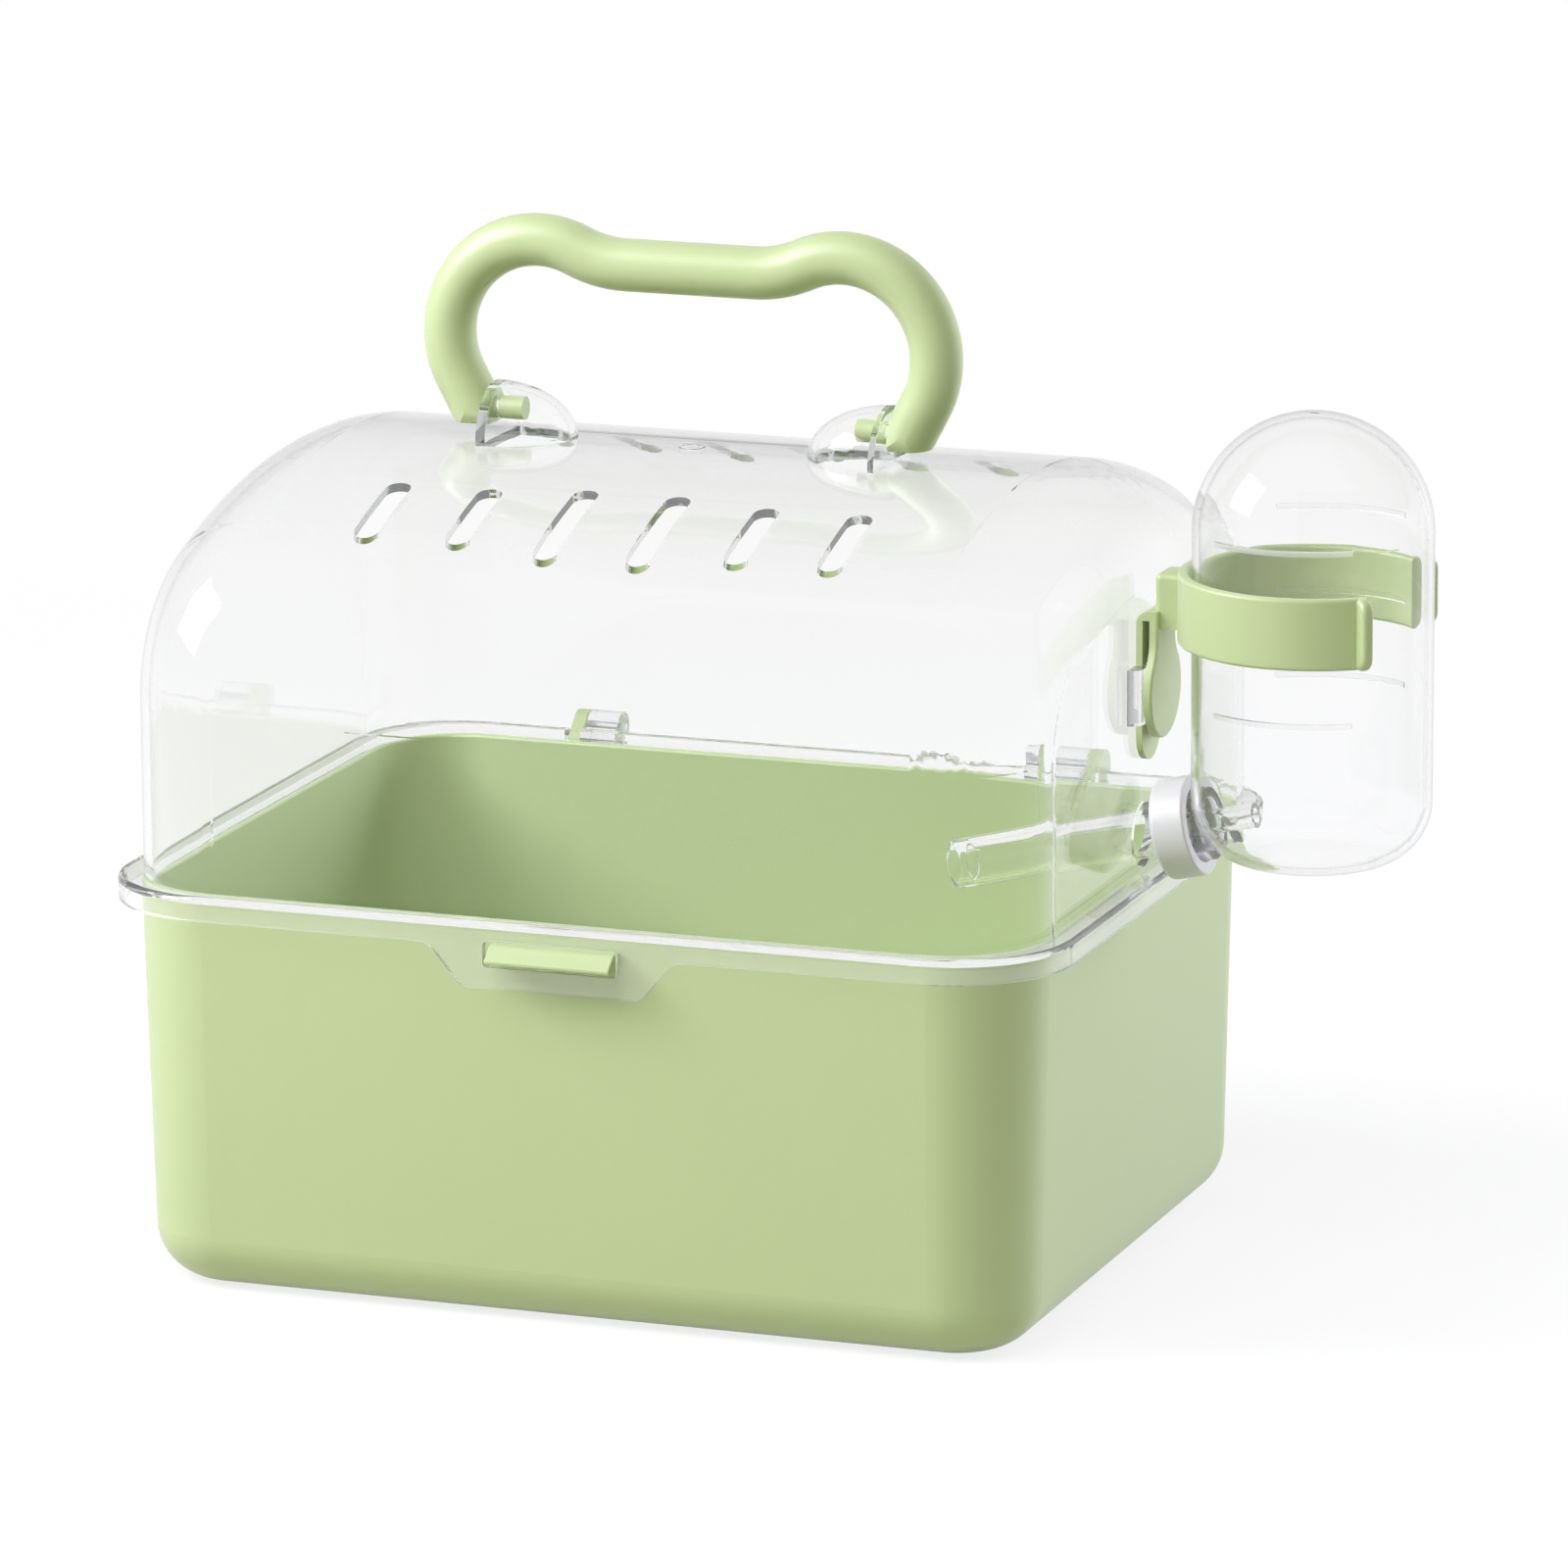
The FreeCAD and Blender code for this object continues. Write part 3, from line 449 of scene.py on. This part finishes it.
def makeFloor(look):
    mesh = bpy.data.meshes.new("floor")
    floor = bpy.data.objects.new("floor", mesh)
    scene.collection.objects.link(floor)
    shape = bmesh.new()
    bmesh.ops.create_grid(shape, x_segments=1, y_segments=1, size=look["floorSpread"])
    shape.to_mesh(mesh)
    shape.free()
    material = blankMaterial("paleFloor")
    tree = material.node_tree
    matte = addNode(tree, "ShaderNodeBsdfDiffuse", (-400, 0))
    fill(matte, {"Color": look["floorTone"]})
    glow = addNode(tree, "ShaderNodeEmission", (-400, 200))
    fill(glow, {"Strength": look["floorGlow"]})
    shade = addNode(tree, "ShaderNodeBsdfDiffuse", (-400, 350))
    fill(shade, {"Color": (look["floorShade"],) * 3 + (1,)})
    near = addNode(tree, "ShaderNodeAddShader", (-150, 280))
    far = addNode(tree, "ShaderNodeEmission", (-150, 420))
    place = addNode(tree, "ShaderNodeTexCoord", (-900, 250))
    reach = addNode(tree, "ShaderNodeVectorMath", (-700, 250), operation="LENGTH")
    fade = addNode(tree, "ShaderNodeMapRange", (-550, 250), interpolation_type="SMOOTHSTEP")
    fill(fade, {"From Min": look["shadowNear"], "From Max": look["shadowFar"]})
    seen = addNode(tree, "ShaderNodeMixShader", (50, 300))
    mix = addNode(tree, "ShaderNodeMixShader", (250, 100))
    end = addNode(tree, "ShaderNodeOutputMaterial", (450, 100))
    link = tree.links.new
    link(place.outputs["Object"], reach.inputs[0])
    link(reach.outputs["Value"], fade.inputs["Value"])
    link(glow.outputs["Emission"], near.inputs[0])
    link(shade.outputs["BSDF"], near.inputs[1])
    link(fade.outputs["Result"], seen.inputs["Fac"])
    link(near.outputs["Shader"], seen.inputs[1])
    link(far.outputs["Emission"], seen.inputs[2])
    link(sightOf(tree, "Is Camera Ray", "Is Glossy Ray", "Is Transmission Ray"), mix.inputs["Fac"])
    link(matte.outputs["BSDF"], mix.inputs[1])
    link(seen.outputs["Shader"], mix.inputs[2])
    link(mix.outputs["Shader"], end.inputs["Surface"])
    mesh.materials.append(material)


makeFloor(studio)


def makeRoom(look):
    world = bpy.data.worlds.new("whiteRoom")
    world.use_nodes = True
    scene.world = world
    tree = world.node_tree
    tree.nodes.clear()
    ambient = addNode(tree, "ShaderNodeBackground", (-250, 0))
    fill(ambient, {"Color": look["ambientTone"], "Strength": look["ambient"]})
    white = addNode(tree, "ShaderNodeBackground", (-250, -150))
    fill(white, {"Color": (1, 1, 1, 1)})
    ceiling = addNode(tree, "ShaderNodeBackground", (-250, -300))   # the room as the gloss mirrors it
    place = addNode(tree, "ShaderNodeTexCoord", (-900, -300))
    split = addNode(tree, "ShaderNodeSeparateXYZ", (-700, -300))
    tone = addNode(tree, "ShaderNodeValToRGB", (-500, -300))
    ramp = tone.color_ramp.elements
    while len(ramp) < len(look["roomStops"]):
        ramp.new(1)
    for stop, (height, level) in zip(ramp, look["roomStops"]):
        stop.position = height
        stop.color = (level, level, level, 1)
    mirror = addNode(tree, "ShaderNodeMixShader", (0, 0))
    mix = addNode(tree, "ShaderNodeMixShader", (200, 50))
    end = addNode(tree, "ShaderNodeOutputWorld", (400, 50))
    link = tree.links.new
    link(place.outputs["Generated"], split.inputs["Vector"])
    link(split.outputs["Z"], tone.inputs["Fac"])
    link(tone.outputs["Color"], ceiling.inputs["Color"])
    link(sightOf(tree, "Is Glossy Ray"), mirror.inputs["Fac"])
    link(ambient.outputs["Background"], mirror.inputs[1])
    link(ceiling.outputs["Background"], mirror.inputs[2])
    link(sightOf(tree, "Is Camera Ray", "Is Transmission Ray"), mix.inputs["Fac"])
    link(mirror.outputs["Shader"], mix.inputs[1])
    link(white.outputs["Background"], mix.inputs[2])
    link(mix.outputs["Shader"], end.inputs["Surface"])


makeRoom(studio)


# Softboxes: azimuth turns from the latch side towards the bottle, all aimed at the middle

softboxes = {
    "keyLeft": {
        "azimuth": -61,
        "elevation": 34,
        "distance": 1.3,
        "size": (0.66, 0.66),
        "power": 16.5,
        "tone": (1.0, 1.0, 1.12),
        "gloss": True,
    },
    "backRight": {
        "azimuth": 145,
        "elevation": 12,
        "distance": 1.4,
        "size": (0.9, 0.9),
        "power": 22,
        "tone": (0.98, 1.0, 1.25),
        "gloss": False,
    },
    "topFront": {
        "azimuth": -15,
        "elevation": 52,
        "distance": 1.4,
        "size": (1.0, 0.8),
        "power": 12,
        "tone": (1.0, 1.0, 1.06),
        "gloss": False,
    },
}
middle = (cadLow + cadHigh) / 2


def aimed(azimuth, elevation):
    turn = math.radians(azimuth)
    rise = math.radians(elevation)
    return Vector((math.sin(turn) * math.cos(rise), -math.cos(turn) * math.cos(rise), math.sin(rise)))


for name, look in softboxes.items():
    lamp = bpy.data.lights.new(name, "AREA")
    lamp.shape = "RECTANGLE"
    lamp.size, lamp.size_y = look["size"]
    lamp.energy = look["power"]
    lamp.color = look["tone"]
    holder = bpy.data.objects.new(name, lamp)
    scene.collection.objects.link(holder)
    out = aimed(look["azimuth"], look["elevation"])
    holder.location = middle + out * look["distance"]
    holder.rotation_euler = out.to_track_quat("Z", "Y").to_euler()
    holder.visible_camera = False
    holder.visible_transmission = False
    holder.visible_glossy = look["gloss"]
print("studio lit with", len(softboxes), "softboxes")


# Camera as the photograph was taken

view = {
    "place": (0.815957, -2.154823, 0.661428),
    "azimuth": 20.2127,
    "elevation": 13.4567,
    "roll": -0.3139,
    "lens": 229.007,
    "sensor": 36,
    "farthest": 50,
}


def makeCamera(look):
    back = aimed(look["azimuth"], look["elevation"])
    turn = math.radians(look["azimuth"])
    right = Vector((math.cos(turn), math.sin(turn), 0))
    up = back.cross(right)
    roll = math.radians(look["roll"])
    across = right * math.cos(roll) + up * math.sin(roll)
    upward = up * math.cos(roll) - right * math.sin(roll)
    facing = Matrix((across, upward, back)).transposed()
    lens = bpy.data.cameras.new("photoView")
    lens.lens = look["lens"]
    lens.sensor_width = look["sensor"]
    lens.clip_end = look["farthest"]
    camera = bpy.data.objects.new("photoView", lens)
    scene.collection.objects.link(camera)
    camera.matrix_world = Matrix.Translation(look["place"]) @ facing.to_4x4()
    scene.camera = camera


makeCamera(view)
print("camera set at", view["azimuth"], "degrees round and", view["elevation"], "up")


# Light crosses many clear walls, so it may bounce often

bounces = {
    "max_bounces": 28,
    "transmission_bounces": 28,
    "glossy_bounces": 16,
    "transparent_max_bounces": 24,
}
for kind, count in bounces.items():
    setattr(scene.cycles, kind, count)
scene.view_settings.view_transform = "Standard"
print("light paths set")
